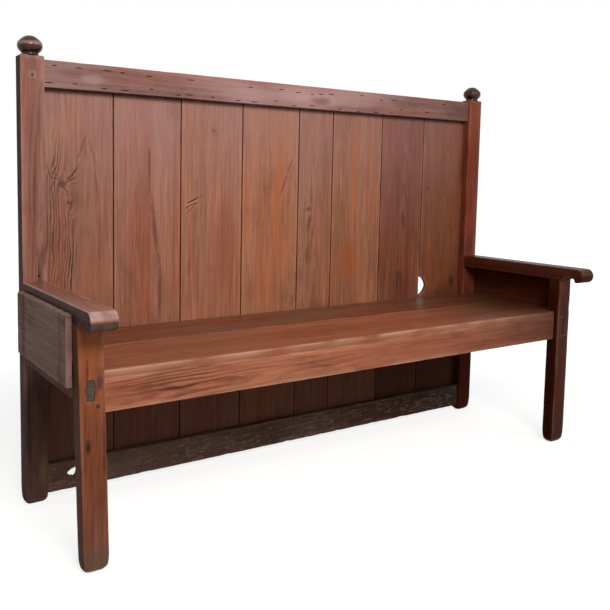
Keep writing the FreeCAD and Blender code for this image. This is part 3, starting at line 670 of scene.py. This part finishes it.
# Colours of the back boards' marks, and rows of (across, along, half width, half length, strength,
# colour, softness, turn) for each board, from the left one to the right one.
PLUM = (104, 56, 52)
ORANGE = (176, 98, 52)
OLIVE = (104, 78, 54)
INK = (52, 38, 36)
# UNLIT is painted shade, for the lower ends of the right-hand boards under the seat.
UNLIT = (30, 8, 4)
PLANK_MARKS = {
    1: (
        (-0.706, 0.884, 0.03, 0.0028, 0.75, INK, 0.6, 50),
        (-0.7, 0.893, 0.028, 0.0022, 0.65, INK, 0.6, 58),
        (-0.712, 0.868, 0.026, 0.003, 0.75, INK, 0.6, 30),
        (-0.716, 0.876, 0.02, 0.002, 0.65, INK, 0.6, 40),
        (-0.755, 0.872, 0.018, 0.0024, 0.65, INK, 0.6, -14),
        (-0.75, 0.88, 0.022, 0.002, 0.55, INK, 0.6, -34),
        (-0.728, 0.842, 0.016, 0.0024, 0.65, INK, 0.6, -50),
        (-0.704, 0.858, 0.014, 0.002, 0.55, INK, 0.6, 10),
        (-0.765, 0.848, 0.0022, 0.018, 0.5, INK, 0.6, -22),
        (-0.772, 0.89, 0.0022, 0.026, 0.45, INK, 0.6, 14),
        (-0.757, 0.905, 0.002, 0.024, 0.45, INK, 0.6, 10),
        (-0.712, 0.8, 0.0028, 0.022, 0.55, INK, 0.6, -14),
        (-0.652, 0.945, 0.004, 0.06, 0.45, PLUM, 0.8, 16),
        (-0.682, 0.955, 0.004, 0.055, 0.55, PLUM, 0.8, -20),
        (-0.672, 0.96, 0.007, 0.05, 0.4, PLUM, 0.9),
        (-0.64, 0.85, 0.005, 0.07, 0.5, PLUM, 0.8, 6),
        (-0.634, 0.7, 0.009, 0.12, 0.4, PLUM, 0.9),
        (-0.7, 0.82, 0.03, 0.05, 0.35, PLUM, 0.9)),
    2: (
        (-0.484, 0.9, 0.007, 0.11, 0.7, PLUM, 0.8),
        (-0.466, 0.72, 0.01, 0.15, 0.75, PLUM, 0.8, 7),
        (-0.451, 0.55, 0.009, 0.13, 0.7, PLUM, 0.8),
        (-0.5, 0.75, 0.04, 0.4, 0.25, PLUM, 1.0)),
    3: (
        (-0.345, 0.806, 0.035, 0.022, 0.5, (186, 128, 92), 0.8),
        (-0.345, 0.812, 0.026, 0.0035, 0.9, INK, 0.5, 26),
        (-0.34, 0.802, 0.02, 0.003, 0.85, INK, 0.5, 18),
        (-0.358, 0.796, 0.018, 0.0028, 0.8, INK, 0.5, 34),
        (-0.332, 0.818, 0.036, 0.0022, 0.6, INK, 0.6, 21),
        (-0.35, 0.788, 0.022, 0.0024, 0.6, INK, 0.6, 40),
        (-0.352, 0.803, 0.022, 0.0026, 0.7, (200, 146, 110), 0.6, 26),
        (-0.272, 1.015, 0.016, 0.03, 0.45, (110, 90, 72), 0.8, 20),
        (-0.235, 0.68, 0.05, 0.2, 0.45, (142, 74, 60), 0.9)),
    4: (
        (-0.045, 0.8, 0.035, 0.3, 0.5, ORANGE, 0.9),
        (0.0, 0.92, 0.004, 0.03, 0.7, PLUM, 0.7, -24),
        (-0.022, 0.86, 0.004, 0.06, 0.7, PLUM, 0.7, -24),
        (-0.12, 0.75, 0.03, 0.3, 0.3, (134, 76, 60), 1.0),
        (-0.02, 0.5, 0.02, 0.05, 0.4, PLUM, 1.0)),
    5: (
        (0.15, 0.8, 0.03, 0.35, 0.35, OLIVE, 0.9),),
    6: (
        (0.265, 0.86, 0.016, 0.3, 0.6, ORANGE, 0.8),
        (0.25, 0.6, 0.055, 0.1, 0.6, (158, 82, 40), 0.6),
        (0.35, 0.6, 0.02, 0.12, 0.4, (92, 70, 62), 0.9),
        (0.2, 0.7, 0.014, 0.2, 0.3, OLIVE, 1.0)),
    7: (
        (0.5, 0.1, 0.3, 0.37, 0.3, UNLIT, 0.4),
        (0.47, 0.8, 0.008, 0.18, 0.55, PLUM, 0.8, 2),
        (0.54, 0.7, 0.03, 0.18, 0.45, PLUM, 1.0),
        (0.5, 0.5, 0.08, 0.1, 0.3, INK, 1.0)),
    8: (
        (0.68, 0.1, 0.3, 0.37, 0.5, UNLIT, 0.4),
        (0.68, 0.7, 0.05, 0.3, 0.4, (96, 70, 46), 1.0),
        (0.755, 0.5, 0.02, 0.05, 0.8, INK, 0.9),
        (0.7, 0.46, 0.1, 0.05, 0.5, INK, 0.9)),
}


def ringed(across, along, half_width, half_length, strength=0.0, softness=1.0):
    """Oval in which the rings show fully, and more by its strength."""
    return patch(across, along, half_width, half_length, strength, GRIME, softness)


def plank_plans():
    return {
        1: dict(
            colours=tone((160, 112, 90), (66, 42, 36)), heart=(0.05, 0.02), tilt=(0.05, 0.045),
            ring=0.0074, contrast=0.5, ripple=3.0, figure=ringed(-0.748, 0.74, 0.072, 0.3, 1.1, 0.5),
            knots=((-0.737, 0.856, 0.011), (-0.716, 0.806, 0.007))),
        2: dict(
            colours=tone((162, 109, 86), (96, 58, 44)), heart=(0.01, 0.034), tilt=(-0.02, 0.05),
            ring=0.0088, contrast=0.85, ripple=1.6, figure=ringed(-0.53, 0.72, 0.08, 0.28)),
        3: dict(
            colours=tone((168, 114, 88), (104, 62, 48)), heart=(0.05, 0.05), tilt=(0.01, 0.01),
            ring=0.0074, contrast=0.75, ripple=1.4, knots=((-0.277, 1.02, 0.006),)),
        4: dict(
            colours=tone((172, 116, 84), (104, 62, 44)), heart=(-0.09, 0.06), tilt=(0.01, 0.014),
            ring=0.0072, contrast=0.8, ripple=1.4),
        5: dict(
            colours=tone((160, 106, 80), (88, 54, 40)), heart=(0.0, 0.042), tilt=(0.02, 0.02),
            ring=0.008, contrast=1.1, ripple=1.6, figure=ringed(0.085, 0.76, 0.05, 0.24),
            knots=((0.08, 0.783, 0.0095), (0.081, 0.725, 0.005))),
        6: dict(
            colours=tone((158, 104, 76), (90, 54, 38)), heart=(0.03, 0.038), tilt=(-0.01, -0.03),
            ring=0.009, contrast=0.95, ripple=1.8, figure=ringed(0.25, 0.8, 0.07, 0.34)),
        7: dict(
            colours=tone((126, 74, 53), (66, 35, 28)), heart=(0.0, 0.03), tilt=(0.01, 0.05),
            ring=0.008, contrast=1.0, ripple=2.0, figure=ringed(0.51, 0.78, 0.06, 0.3)),
        8: dict(
            colours=tone((132, 81, 53), (66, 40, 28)), heart=(0.0, 0.034), tilt=(-0.02, -0.04),
            ring=0.0082, contrast=1.1, ripple=2.2, figure=ringed(0.66, 0.76, 0.06, 0.3),
            knots=((0.619, 0.854, 0.008), (0.672, 0.848, 0.005), (0.681, 0.685, 0.006))),
    }


def make_planks():
    """The eight back boards, each with the grain, knots and tint that it has in the photograph."""
    for number, plan in plank_plans().items():
        node = f"back_plank_{number}"
        low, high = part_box(node)
        middle = ((low.x + high.x) / 2, BOARD_FRONT, (low.z + high.z) / 2)
        material = wood(
            f"plank_pine_{number}", "XYZ", number * 1.37, middle=middle, specular=0.16,
            joint_front=BOARD_FRONT, dull=UNDER_SEAT_DIRT_AND_SHADE,
            patches=(UNDER_SEAT_DIRT_AND_SHADE, BLOOM_AND_TOP_LIGHT, UNDER_RAIL_SHADE, *patches(*PLANK_MARKS[number])), **plan)
        worn_piece(
            node, material, number, (0.018, 0.02, 0.018), uneven=0.45, nicks=0.9)


def post_plans():
    """Each back post's seed, colours, painted shade on its left face, and marks; the first is its lower end,
    dark with dirt and painted shade.
    """
    # The first mark of each post darkens its lower end: dirt and painted shade below the seat.
    left_marks = patches(
        (-0.82, 0.12, 0.2, 0.34, 0.7, (66, 50, 46), 0.35),
        (-0.802, 0.09, 0.015, 0.06, 0.6, (118, 100, 62), 0.9),
        (-0.838, 0.25, 0.012, 0.26, 0.6, (42, 34, 42), 0.9),
        (-0.812, 0.33, 0.03, 0.07, 0.45, (56, 44, 58), 0.9),
        (-0.82, 0.0, 0.2, 0.01, 0.5, (120, 104, 96), 0.8),
        (-0.8, 0.23, 0.008, 0.08, 0.5, (70, 60, 38), 0.9),
        (-0.808, 0.617, 0.0045, 0.0045, 0.95, (20, 14, 14), 0.3),
        (-0.81, 0.6, 0.02, 0.06, 0.4, (36, 26, 24), 0.9))
    right_marks = patches(
        (0.82, 0.12, 0.2, 0.36, 0.8, (54, 26, 15), 0.35),
        (0.82, 1.18, 0.2, 0.18, 0.4, (140, 84, 60), 0.9),
        (0.815, 0.64, 0.04, 0.07, 0.6, (60, 28, 18), 0.9),
        (0.83, 0.95, 0.01, 0.14, 0.5, (70, 34, 26), 0.9),
        (0.812, 0.8, 0.008, 0.1, 0.45, (70, 34, 26), 0.9))
    left_tone = tone((148, 102, 86), (78, 46, 38), worn=(186, 140, 128), rub=0.7)
    right_tone = tone((126, 64, 44), (62, 30, 22), worn=(172, 104, 78))
    return {
        "back_post_left": (21.3, left_tone, (0.8, (60, 46, 46)), left_marks),
        "back_post_right": (24.9, right_tone, None, right_marks),
    }


def make_posts():
    """The two uprights of the back, unwaxed near the floor and darker there with dirt and painted shade."""
    for node, (seed, colours, dark_side, marks) in post_plans().items():
        low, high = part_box(node)
        material = wood(
            f"{node}_pine", "XYZ", seed, colours, heart=(0.015, 0.05), tilt=(0.01, 0.012), ring=0.0066,
            middle=((low.x + high.x) / 2, low.y, 0.6), patches=marks, contrast=1.3, specular=0.1,
            dull=marks[0], dark_side=dark_side)
        post = worn_piece(
            node, material, seed, (0.02, 0.02, 0.012), uneven=0.5, nicks=1.4,
            still=POST_OUTSIDES)
        round_foot(post)


def tack_holes(face_y):
    """Pits left along the top rail by the tacks of a lost cloth: x, and z above their lowest."""
    upper = ((-760, 57), (-696, 56), (-617, 56), (-575, 55), (-497, 52), (-367, 53),
             (-164, 49), (-52, 51), (11, 47), (66, 45), (101, 48), (142, 51), (272, 56),
             (357, 47), (415, 51), (549, 47), (657, 53))
    lower = ((-777, 12), (-706, 14), (-626, 8), (-568, 8), (-489, 17), (-407, 7),
             (-372, 10), (-295, 10), (-208, 6), (-150, 6), (-71, 14), (-3, 4), (67, 9),
             (182, 6), (258, 2), (336, 4), (405, 7), (452, 20), (575, 19))
    lowest, shortest, step, half_height, depth = 1106, 7.5, 3.0, 1.3, 5
    holes = [(x * MM, (z + lowest) * MM, (shortest + index % 3 * step) * MM, half_height * MM, depth * MM)
             for index, (x, z) in enumerate(upper + lower)]
    return lens_cutters("tack_holes", holes, face_y, HOLE_GRIME)


def make_top_rail():
    """The rail across the top of the back, with a pale middle of haze and painted light, painted shade along
    its lower edge, and its tack holes.
    """
    plum = (96, 60, 62)
    face_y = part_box("top_rail")[0].y
    marks = patches(
        # Painted shade along the underside and lower edge of the rail.
        (1.104, 0.0, 0.0035, 40.0, 0.9, (40, 24, 22), 0.5),
        # A pale middle: haze and painted light from the lamp in front.
        (1.141, 0.05, 0.1, 0.5, 0.7, (206, 166, 160), 1.0),
        (1.141, 0.82, 0.08, 0.26, 0.75, (86, 52, 34), 1.0),
        (1.141, -0.75, 0.1, 0.3, 0.4, (150, 124, 122), 1.0),
        (1.13, 0.1, 0.02, 0.06, 0.6, (80, 54, 60), 0.9),
        (1.125, 0.7, 0.014, 0.03, 0.6, plum, 0.9),
        (1.16, -0.55, 0.012, 0.2, 0.5, (108, 66, 54), 0.9),
        (1.115, -0.45, 0.01, 0.3, 0.4, plum, 0.9),
        (1.15, 0.45, 0.02, 0.1, 0.4, plum, 1.0),
        (1.135, -0.66, 0.018, 0.05, 0.5, (168, 140, 134), 0.8),
        (1.148, -0.72, 0.012, 0.06, 0.45, plum, 0.9),
        (1.17, -0.2, 0.005, 0.7, 0.45, (172, 104, 82), 0.9),
        (1.115, 0.25, 0.012, 0.2, 0.45, plum, 0.9),
        (1.145, 0.8, 0.02, 0.03, 0.6, (60, 44, 50), 0.9))
    colours = tone((140, 100, 90), (76, 46, 42), worn=(160, 108, 92))
    material = wood(
        "top_rail_pine", "ZYX", 31.7, colours, patches=marks, tilt=(0.012, 0.03), ring=0.0068,
        middle=(1.141, face_y, 0.0), specular=0.24, contrast=1.1, ripple=1.4)
    worn_piece(
        "top_rail", material, 31, (0.016, 0.02, 0.014), uneven=0.4, nicks=1.0,
        cutters=[tack_holes(face_y)])


def weathered_tone():
    return tone(
        (84, 60, 46), (34, 22, 18), red=(70, 44, 32), grey=(100, 80, 68), grime=(22, 15, 12),
        worn=(140, 114, 98))


def make_bottom_rail():
    """The rough-sawn rail near the floor, with the grain bent round its lost knot."""
    face_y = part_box("bottom_rail")[0].y
    marks = patches(
        (0.06, 0.75, 0.2, 0.45, 0.7, (34, 22, 18), 1.0),
        (0.06, -0.65, 0.2, 0.5, 0.35, (132, 104, 92), 1.0))
    material = wood(
        "bottom_rail_pine", "ZYX", 33.1, weathered_tone(), heart=(0.01, 0.04), tilt=(0.01, 0.02),
        ring=0.0048, middle=(0.061, face_y, 0.0), knots=((0.066, -0.72, 0.017),), roughness=0.72,
        patches=marks, rough_sawn=1.0, contrast=1.5, ripple=2.0, specular=0.08)
    worn_piece(
        "bottom_rail", material, 33, (0.014, 0.02, 0.01), uneven=1.3,
        nicks=4.2, bevel=1.5)


def make_seat_bearer():
    """The hidden rail under the rear edge of the seat, in line with the bottom rail."""
    face_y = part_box("bottom_rail")[0].y
    material = wood(
        "bearer_pine", "ZYX", 35.5, weathered_tone(), middle=(0.4, face_y, 0.0), roughness=0.7,
        rough_sawn=0.6)
    worn_piece("seat_back_bearer", material, 35, (0.03, 0.03, 0.02), uneven=0.5)


def make_seat_boards():
    """The two seat boards, waxed, paler over the left half and dark at the right-hand end."""
    # The front board's pale worn colour gives its front arris a painted highlight as well as wear.
    front_tone = tone((166, 100, 70), (84, 44, 30), red=(136, 72, 46), worn=(222, 176, 150), rub=0.55)
    rear_tone = tone((130, 80, 55), (74, 42, 28), grey=(118, 84, 66), worn=(170, 118, 90), rub=0.4)
    marks = patches(
        (0.0, -0.45, 0.3, 0.55, 0.25, (140, 96, 76), 1.0),
        (0.0, 0.95, 0.6, 0.8, 0.95, (68, 38, 20), 1.0))
    for node, seed, colours in (("seat_board_front", 41.2, front_tone),
                                ("seat_board_back", 43.6, rear_tone)):
        low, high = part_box(node)
        material = wood(
            f"{node}_pine", "YZX", seed, colours, heart=(0.02, -0.05), tilt=(0.01, 0.014), ring=0.008,
            ripple=1.4, middle=((low.y + high.y) / 2, high.z, 0.0), coat=0.02, roughness=0.44,
            specular=0.11, patches=marks)
        worn_piece(
            node, material, seed, (0.02, 0.018, 0.02), uneven=0.6, nicks=0.5,
            bevel=0.3)


def make_front_rail():
    """The rail under the seat's front edge, with strong rings on the left and dark on the right."""
    face_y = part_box("seat_front_rail")[0].y
    marks = patches(
        (0.4, 0.95, 0.2, 1.0, 0.95, (60, 26, 9), 1.0),
        (0.4, 0.8, 0.2, 0.008, 0.7, (44, 24, 16), 0.9),
        (0.4, -0.8, 0.2, 0.008, 0.7, (60, 34, 24), 0.9),
        (0.4, 0.1, 0.03, 0.3, 0.35, (128, 66, 38), 1.0),
        (0.375, -0.35, 0.02, 0.2, 0.35, (172, 112, 84), 1.0))
    # The rail's pale worn colour gives its top arris a painted highlight as well as wear.
    colours = tone((177, 108, 79), (86, 46, 32), red=(147, 79, 54), worn=(222, 176, 150), rub=0.55)
    material = wood(
        "front_rail_pine", "ZYX", 45.8, colours, heart=(-0.01, 0.035), tilt=(0.03, 0.02), ring=0.0062,
        middle=(0.396, face_y, -0.3), contrast=1.6, ripple=1.6, specular=0.12,
        figure=ringed(0.4, -0.62, 0.09, 0.3), patches=marks)
    worn_piece(
        "seat_front_rail", material, 45, (0.016, 0.02, 0.012), uneven=0.4,
        nicks=0.8, bevel=0.3)


def make_side_rails():
    """The side rails, whose tenons show as dull end grain on the fronts of the legs."""
    for node, seed, light in (("seat_side_rail_left", 47.1, (88, 76, 68)),
                              ("seat_side_rail_right", 49.4, (56, 30, 20))):
        low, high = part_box(node)
        colours = tone(light, (44, 28, 22), worn=light, rub=0.1)
        # dark_side paints shade on the rail's faces that look to -X.
        material = wood(
            f"{node}_pine", "ZXY", seed, colours, ring=0.0036, heart=(0.01, 0.03),
            middle=((low.z + high.z) / 2, low.x, 0.0), specular=0.08, dark_side=(0.9, (98, 74, 66)))
        worn_piece(node, material, seed, (0.02, 0.014, 0.014), uneven=0.4)


def front_leg_plans():
    """Each front leg's seed, colours, painted shade on its left face, and marks."""
    purple = (66, 44, 56)
    ink = (34, 24, 22)
    left_marks = patches(
        (-0.82, 0.417, 0.0145, 0.029, 0.9, ink, 0.35),
        (-0.8, 0.458, 0.012, 0.012, 0.6, purple, 0.8),
        (-0.815, 0.5, 0.05, 0.24, 0.45, (172, 96, 52), 1.0),
        (-0.81, 0.02, 0.08, 0.2, 0.45, (112, 84, 70), 1.0),
        (-0.81, 0.035, 0.2, 0.035, 0.5, (92, 78, 68), 0.9),
        (-0.81, 0.0, 0.2, 0.011, 0.6, (190, 160, 138), 0.6),
        (-0.8, 0.432, 0.012, 0.03, 0.75, purple, 0.8),
        (-0.826, 0.29, 0.009, 0.022, 0.8, ink, 0.8),
        (-0.828, 0.46, 0.004, 0.05, 0.6, ink, 0.8),
        (-0.79, 0.28, 0.006, 0.12, 0.5, ink, 0.8))
    right_marks = patches(
        (0.82, 0.55, 0.06, 0.06, 0.4, (130, 74, 50), 1.0),
        (0.821, 0.436, 0.012, 0.014, 0.8, ink, 0.7),
        (0.82, 0.05, 0.08, 0.12, 0.5, (34, 18, 14), 1.0),
        (0.82, 0.0, 0.2, 0.012, 0.6, (92, 76, 70), 0.6))
    left_tone = tone((134, 78, 52), (66, 38, 28), red=(120, 60, 38), worn=(170, 122, 94))
    right_tone = tone((72, 34, 19), (38, 17, 11), worn=(140, 84, 60), rub=0.6)
    return {
        "front_leg_left": (51.9, left_tone, (0.85, (92, 66, 54)), left_marks),
        "front_leg_right": (53.2, right_tone, (0.7, (46, 22, 13)), right_marks),
    }


def make_front_legs():
    """The front legs: the left one orange and scuffed, the right one nearly black."""
    for node, (seed, colours, dark_side, marks) in front_leg_plans().items():
        low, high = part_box(node)
        material = wood(
            f"{node}_pine", "XYZ", seed, colours, heart=(0.012, 0.045), tilt=(0.012, 0.02), ring=0.005,
            middle=((low.x + high.x) / 2, low.y, 0.3), patches=marks, specular=0.08, contrast=0.9,
            dark_side=dark_side)
        leg = worn_piece(
            node, material, seed, (0.015, 0.015, 0.012), uneven=0.5, nicks=1.8)
        round_foot(leg)


def make_arms():
    """The arms, the left one polished by hands; each is painted darker underneath and where it meets the
    back, as shade.
    """
    left_tone = tone(
        (154, 104, 88), (74, 48, 40), grey=(150, 114, 102), worn=(206, 186, 178), grime=(52, 38, 33))
    right_tone = tone(
        (92, 44, 29), (46, 22, 15), grey=(80, 46, 34), worn=(150, 98, 80), grime=(46, 23, 16))
    underside = 16 * MM
    # dark_side paints shade on each arm's left face, and under paints it darker below its top, as shade.
    plans = {
        "arm_left": (61.4, left_tone, 0.55, (0.85, (78, 58, 50)), 0.75),
        "arm_right": (63.8, right_tone, 0.1, (0.5, (88, 42, 26)), 0.3),
    }
    for node, (seed, colours, coat, dark_side, under_shade) in plans.items():
        low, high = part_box(node)
        # Painted shade at the rear end of the arm, where it meets the back post.
        marks = patches((0.82, low.y, 0.2, 0.06, 0.6, (40, 22, 16), 0.8))
        material = wood(
            f"{node}_pine", "XZY", seed, colours, heart=(0.01, -0.04), tilt=(0.01, 0.02), ring=0.0064,
            middle=((low.x + high.x) / 2, high.z, 0.0), coat=coat, roughness=0.44, coat_roughness=0.18,
            specular=0.05, contrast=1.2, under=(high.z - underside, under_shade), dark_side=dark_side,
            patches=marks)
        worn_piece(
            node, material, seed, (0.012, 0.012, 0.012), uneven=0.4, nicks=0.5)


def make_side_panels():
    """The thin boards outside the arms, the left one with the heads and rust of its nails and two bands of
    painted shadow.
    """
    rust = (58, 34, 26)
    # shadow is the colour of two bands of painted shadow on the left panel.
    shadow = (54, 38, 32)
    left_marks = patches(
        (0.582, -0.075, 0.0045, 0.0045, 0.9, rust, 0.4),
        (0.577, -0.17, 0.01, 0.03, 0.6, (70, 50, 58), 0.9),
        (0.5, 0.175, 0.2, 0.022, 0.55, shadow, 0.7),
        (0.5, -0.12, 0.2, 0.012, 0.3, shadow, 0.7),
        (0.45, 0.1, 0.0022, 0.0022, 0.9, rust, 0.4),
        (0.45, -0.1, 0.0022, 0.0022, 0.9, rust, 0.4))
    left_tone = tone(
        (148, 110, 98), (86, 60, 52), red=(130, 92, 80), grey=(146, 120, 112), worn=(156, 128, 114))
    right_tone = tone((92, 44, 28), (54, 24, 15), red=(76, 28, 15), grey=(80, 42, 28), worn=(100, 56, 38))
    plans = {
        "side_panel_left": (71.6, left_tone, left_marks),
        "side_panel_right": (74.3, right_tone, ()),
    }
    for node, (seed, colours, marks) in plans.items():
        low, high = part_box(node)
        material = wood(
            f"{node}_pine", "ZXY", seed, colours, heart=(0.03, 0.05), tilt=(0.01, 0.012), ring=0.007,
            middle=((low.z + high.z) / 2, low.x, 0.05), roughness=0.6, contrast=0.9, specular=0.02,
            patches=marks)
        worn_piece(
            node, material, seed, (0.02, 0.012, 0.012), uneven=0.5, nicks=1.2,
            still=POST_OUTSIDES)


def dress(node, material):
    """Give a node's own solid a material."""
    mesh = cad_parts[node].data
    mesh.materials.clear()
    mesh.materials.append(material)


def make_finials():
    """The turned finials, which keep their solids: polished, with painted shade in the neck and a painted
    highlight band round the left cap.
    """
    # shaded paints shade into the neck, and faded paints a highlight as a pale band round the left cap.
    shaded = patch(0.0, 1.192, 4.0, 0.013, 0.8, (30, 17, 19), 0.7)
    painted_highlight_band = patch(-0.82, 1.2135, 0.2, 0.0075, 0.6, (176, 140, 138), 1.0)
    for node, seed, bands in (("finial_left", 81.5, (shaded, painted_highlight_band)), ("finial_right", 84.2, (shaded,))):
        low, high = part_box(node)
        colours = tone((74, 38, 31), (40, 20, 17), grey=(70, 42, 36), worn=(120, 84, 72))
        dress(node, wood(f"{node}_pine", "XYZ", seed, colours, heart=(0.03, 0.02), tilt=(0.0, 0.0),
                         ring=0.003, middle=((low.x + high.x) / 2, (low.y + high.y) / 2, 1.2),
                         coat=0.35, roughness=0.34, coat_roughness=0.12, specular=0.05, patches=bands))


def make_pegs():
    """The drawn pegs, which keep their solids: end grain of oak."""
    colours = tone((84, 62, 50), (46, 32, 26), grey=(92, 76, 66), worn=(110, 90, 76))
    dress("frame_pegs", wood("peg_oak", "XZY", 91.3, colours, heart=(0.0, 0.0), tilt=(0.0, 0.0),
                             ring=0.0012, middle=(0, 1.1, 0)))


def make_floor():
    """Pale floor that keeps the shadow, and glows white where it is seen."""
    floor_size = 60
    near, far = 1.1, 2.6
    near_glow, added_glow = 0.78, 0.22
    bpy.ops.mesh.primitive_plane_add(size=floor_size)
    floor = bpy.context.object
    floor.name = "floor"
    g = Graph(bpy.data.materials.new("floor_white"))
    surface = {"Base Color": (0.45, 0.45, 0.45, 1), "Roughness": 0.9, "Specular IOR Level": 0.0}
    for socket, value in surface.items():
        g.feed(g.shader.inputs[socket], value)
    place = g.node("ShaderNodeTexCoord").outputs["Object"]
    distance = g.node("ShaderNodeVectorMath", {0: place}, operation="LENGTH").outputs["Value"]
    whiteness = g.times_add(g.rise(distance, near, far), added_glow, near_glow)
    strength = g.times(g.where_seen(), whiteness)
    glow = g.node("ShaderNodeEmission", {"Color": (1, 1, 1, 1), "Strength": strength})
    both = g.node("ShaderNodeAddShader", {0: g.shader.outputs[0], 1: glow.outputs[0]})
    g.feed(g.tree.nodes["Material Output"].inputs["Surface"], both.outputs[0])
    floor.data.materials.append(g.owner)


def make_world():
    """A studio that shows white, and lights the settle evenly and less brightly."""
    light_level = 0.26
    world = bpy.data.worlds.new("studio")
    bpy.context.scene.world = world
    g = Graph(world)
    level = g.node("ShaderNodeMapRange", {"Value": g.where_seen(), "To Min": light_level, "To Max": 1.0})
    background = g.tree.nodes["Background"]
    g.feed(background.inputs["Color"], (1, 1, 1, 1))
    g.feed(background.inputs["Strength"], level.outputs[0])


def add_lamp(name, place, target, size, power, colour):
    lamp = bpy.data.lights.new(name, "AREA")
    lamp.shape = "RECTANGLE"
    lamp.size, lamp.size_y = size
    lamp.energy = power
    lamp.color = colour
    holder = bpy.data.objects.new(name, lamp)
    bpy.context.scene.collection.objects.link(holder)
    holder.location = place
    holder.rotation_euler = (Vector(target) - Vector(place)).to_track_quat("-Z", "Y").to_euler()


def make_lamps():
    """A warm key lamp from the left, and a cool broad one from the right."""
    add_lamp("key", (-0.9, -2.7, 2.5), (0.0, 0.1, 0.75), (1.4, 1.0), 78, (1.0, 0.97, 0.94))
    add_lamp("haze", (1.9, -3.2, 2.5), (0.2, 0.2, 0.7), (2.6, 1.4), 34, (0.97, 0.98, 1.0))


def make_camera():
    """The lens of the photograph, solved from the settle's straight edges."""
    data = bpy.data.cameras.new("camera")
    data.sensor_width = SENSOR_WIDTH
    data.lens = FOCAL_PIXELS * SENSOR_WIDTH / IMAGE_SIZE
    data.shift_x = (IMAGE_SIZE / 2 - CENTRE_PIXEL[0]) / IMAGE_SIZE
    data.shift_y = (CENTRE_PIXEL[1] - IMAGE_SIZE / 2) / IMAGE_SIZE
    camera = bpy.data.objects.new("camera", data)
    bpy.context.scene.collection.objects.link(camera)
    turn = Matrix((LENS_RIGHT, -LENS_DOWN, -LENS_FORWARD)).transposed()
    camera.matrix_world = Matrix.Translation(LENS_POSITION) @ turn.to_4x4()
    bpy.context.scene.camera = camera
    bpy.context.scene.view_settings.view_transform = "Standard"


make_planks()
make_posts()
make_top_rail()
make_bottom_rail()
make_seat_bearer()
make_seat_boards()
make_front_rail()
make_side_rails()
make_front_legs()
make_arms()
make_side_panels()
make_finials()
make_pegs()
make_floor()
make_world()
make_lamps()
make_camera()
